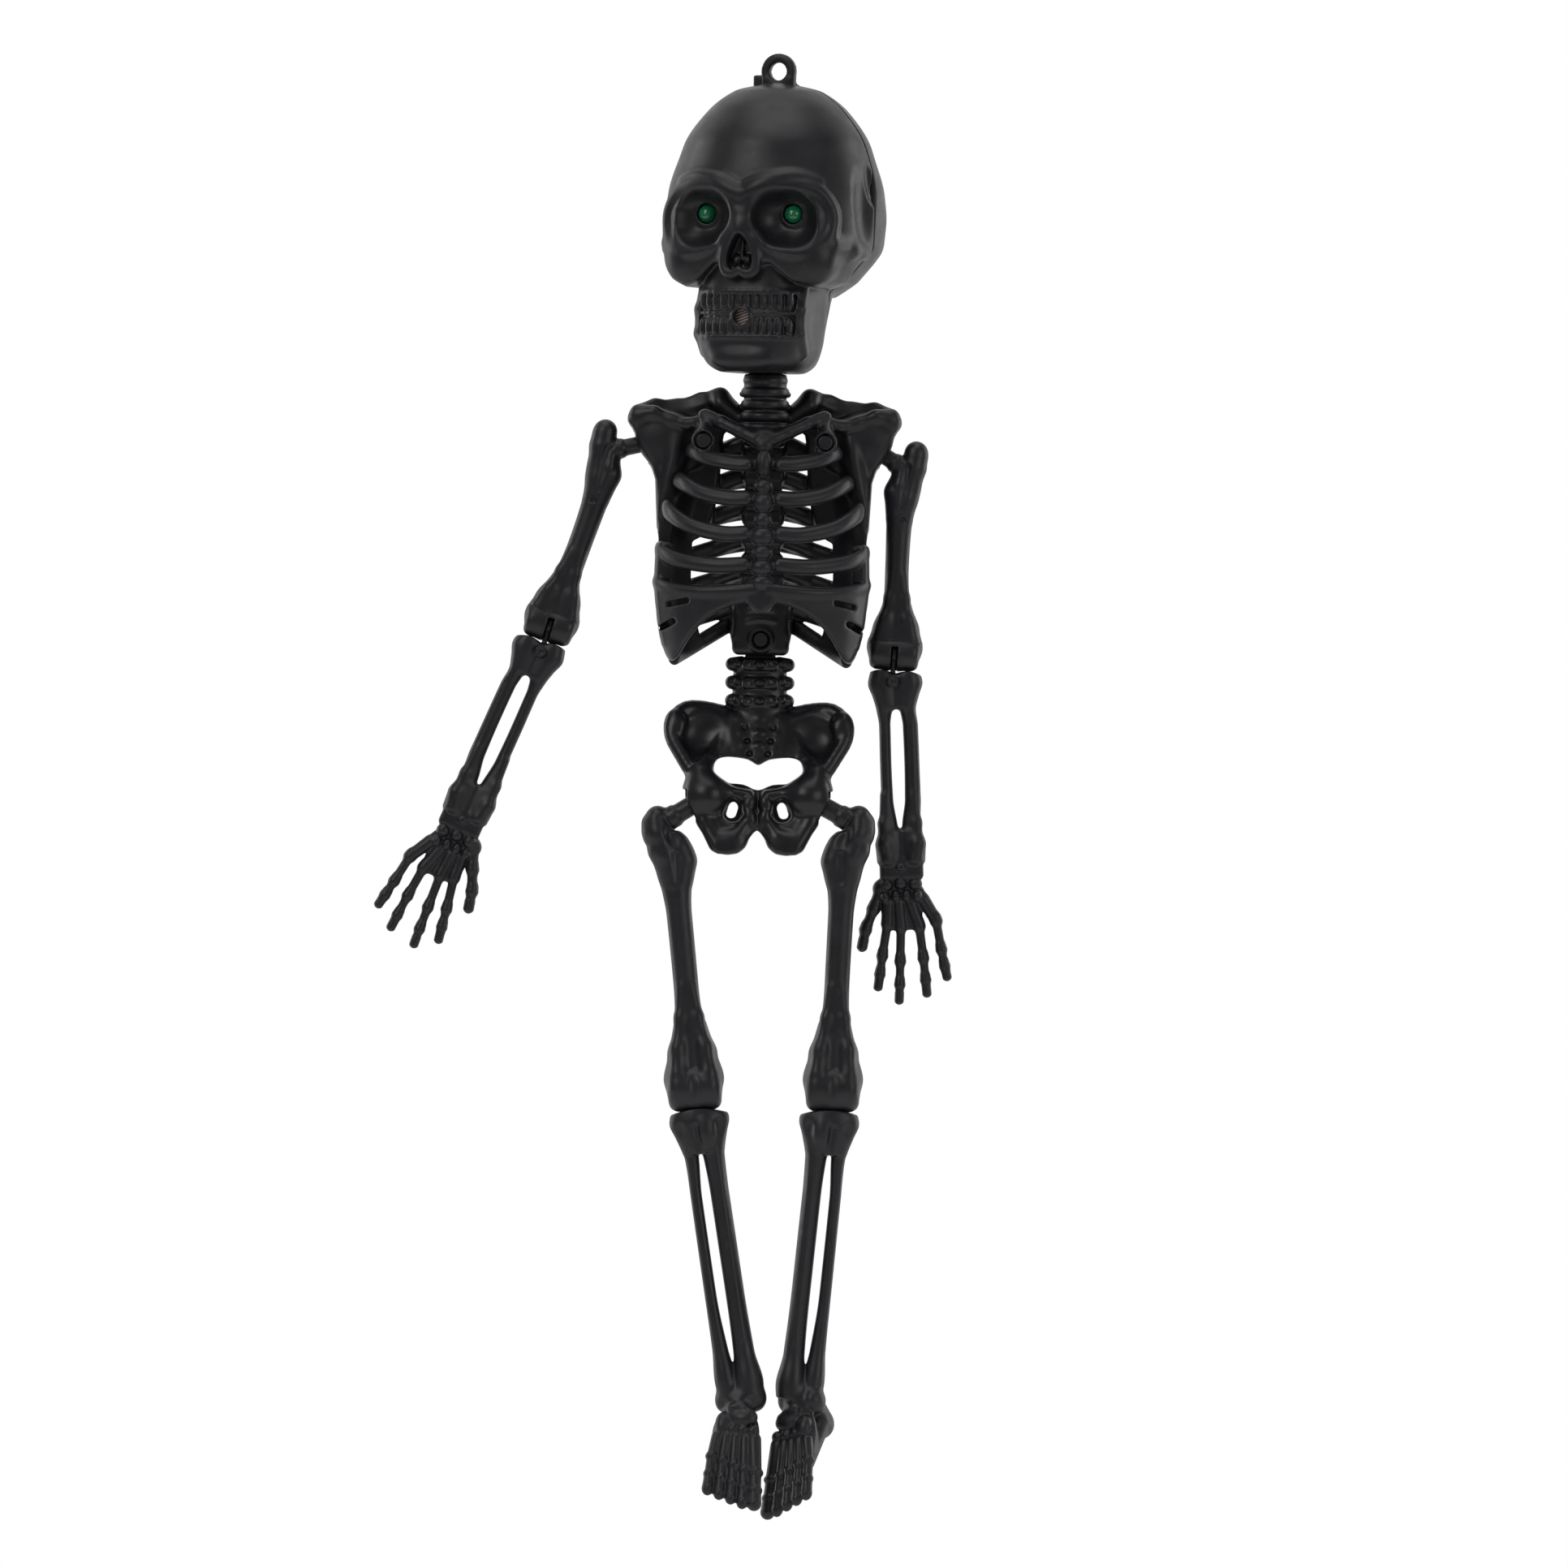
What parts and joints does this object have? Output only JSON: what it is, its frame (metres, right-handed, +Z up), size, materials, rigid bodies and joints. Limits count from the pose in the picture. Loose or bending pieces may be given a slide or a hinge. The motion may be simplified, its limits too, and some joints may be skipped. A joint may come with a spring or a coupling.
{
  "type": "hanging skeleton figure",
  "caption": "Jointed black plastic skeleton that hangs from a loop, with a light sensor in its mouth and two lamp eyes.",
  "frame": {"origin": "centre of the hanging loop's hole, on top of the head", "axes": "+Z up; the body's front faces -Y; +X is the figure's own left"},
  "size_m": [0.0953, 0.0356, 0.2414],
  "materials": {
    "black_plastic": "near-black moulded plastic with a faint violet tint, satin",
    "black_gloss_plastic": "the same plastic, glossier",
    "green_led": "green diffused lamp resin, gloss",
    "sensor_epoxy": "light-sensitive track under clear resin",
    "board_laminate": "green solder mask",
    "chip_resin": "black resin blob",
    "resistor_ceramic": "matt ceramic",
    "screw_steel": "zinc-plated steel",
    "cell_steel": "stainless cell can",
    "contact_nickel": "nickel-plated spring steel",
    "wire_insulation": "red wire insulation",
    "switch_can": "tinned steel",
    "switch_plastic": "black plastic"
  },
  "bodies": {
    "skull": {"skull_front_shell": "black_plastic", "skull_rear_shell": "black_plastic", "battery_door": "black_plastic", "battery_door_screw": "screw_steel", "skull_shell_screws": "screw_steel", "eye_led_left": "green_led", "eye_led_right": "green_led", "mouth_light_sensor": "sensor_epoxy", "circuit_board": "board_laminate", "controller_chip": "chip_resin", "board_resistors": "resistor_ceramic", "board_screws": "screw_steel", "button_cells": "cell_steel", "battery_contacts": "contact_nickel", "internal_wires": "wire_insulation", "switch_body": "switch_can"},
    "power_switch": {"switch_knob": "switch_plastic"},
    "torso": {"ribcage_front": "black_plastic", "ribcage_back": "black_plastic", "waist_pin": "black_plastic"},
    "pelvis": {"lower_back_pelvis": "black_gloss_plastic"},
    "shoulder_ball_left": {"shoulder_ball_left": "black_plastic"},
    "upper_arm_left": {"humerus_left": "black_plastic"},
    "forearm_left": {"forearm_hand_left": "black_plastic"},
    "hip_ball_left": {"hip_ball_left": "black_plastic"},
    "thigh_left": {"femur_left": "black_plastic"},
    "shank_left": {"shank_foot_left": "black_plastic"},
    "shoulder_ball_right": {"shoulder_ball_right": "black_plastic"},
    "upper_arm_right": {"humerus_right": "black_plastic"},
    "forearm_right": {"forearm_hand_right": "black_plastic"},
    "hip_ball_right": {"hip_ball_right": "black_plastic"},
    "thigh_right": {"femur_right": "black_plastic"},
    "shank_right": {"shank_foot_right": "black_plastic"}
  },
  "joints": [
    {"name": "neck_swivel", "type": "hinge", "parent": "skull", "child": "torso", "pos_m": [-0.00128, -0.00351, -0.0498], "axis": [0, 0, 1], "continuous": true},
    {"name": "power_switch_slide", "type": "slide", "parent": "skull", "child": "power_switch", "axis": [0.9397, -0.342, 0], "range_m": [0, 0.002]},
    {"name": "waist_bend", "type": "hinge", "parent": "torso", "child": "pelvis", "pos_m": [-0.00128, 0.00169, -0.0934], "axis": [0, 1, 0], "range_deg": [-8, 8]},
    {"name": "shoulder_tilt_left", "type": "hinge", "parent": "torso", "child": "shoulder_ball_left", "pos_m": [0.01542, 0.00049, -0.0608], "axis": [0, -1, 0], "range_deg": [0, 24]},
    {"name": "shoulder_swing_left", "type": "hinge", "parent": "shoulder_ball_left", "child": "upper_arm_left", "pos_m": [0.01542, 0.00049, -0.0608], "axis": [-0.8387, 0, 0.5446], "continuous": true},
    {"name": "elbow_left", "type": "hinge", "parent": "upper_arm_left", "child": "forearm_left", "pos_m": [0.02071, 0.00049, -0.09525], "axis": [-0.9984, 0, 0.0558], "range_deg": [0, 90]},
    {"name": "shoulder_tilt_right", "type": "hinge", "parent": "torso", "child": "shoulder_ball_right", "pos_m": [-0.01798, 0.00049, -0.0608], "axis": [0, 1, 0], "range_deg": [-20.1, 3.9]},
    {"name": "shoulder_swing_right", "type": "hinge", "parent": "shoulder_ball_right", "child": "upper_arm_right", "pos_m": [-0.01798, 0.00049, -0.0608], "axis": [-0.9748, 0, -0.2233], "continuous": true},
    {"name": "elbow_right", "type": "hinge", "parent": "upper_arm_right", "child": "forearm_right", "pos_m": [-0.03595, 0.00049, -0.0916], "axis": [-0.9568, 0, 0.2907], "range_deg": [0, 90]},
    {"name": "hip_tilt_left", "type": "hinge", "parent": "pelvis", "child": "hip_ball_left", "pos_m": [0.00702, -0.00601, -0.1192], "axis": [0, -1, 0], "range_deg": [0, 14]},
    {"name": "hip_swing_left", "type": "hinge", "parent": "hip_ball_left", "child": "thigh_left", "pos_m": [0.00702, -0.00601, -0.1192], "axis": [-0.8829, 0, 0.4695], "range_deg": [0, 110]},
    {"name": "knee_left", "type": "hinge", "parent": "thigh_left", "child": "shank_left", "pos_m": [0.01192, -0.00601, -0.1668], "axis": [1, 0, 0], "range_deg": [0, 90]},
    {"name": "hip_tilt_right", "type": "hinge", "parent": "pelvis", "child": "hip_ball_right", "pos_m": [-0.00958, -0.00601, -0.1192], "axis": [0, 1, 0], "range_deg": [0, 14]},
    {"name": "hip_swing_right", "type": "hinge", "parent": "hip_ball_right", "child": "thigh_right", "pos_m": [-0.00958, -0.00601, -0.1192], "axis": [-0.8434, 0, -0.5373], "range_deg": [0, 110]},
    {"name": "knee_right", "type": "hinge", "parent": "thigh_right", "child": "shank_right", "pos_m": [-0.01074, -0.00705, -0.16703], "axis": [0.9968, -0.0123, 0.0786], "range_deg": [0, 90]}
  ]
}
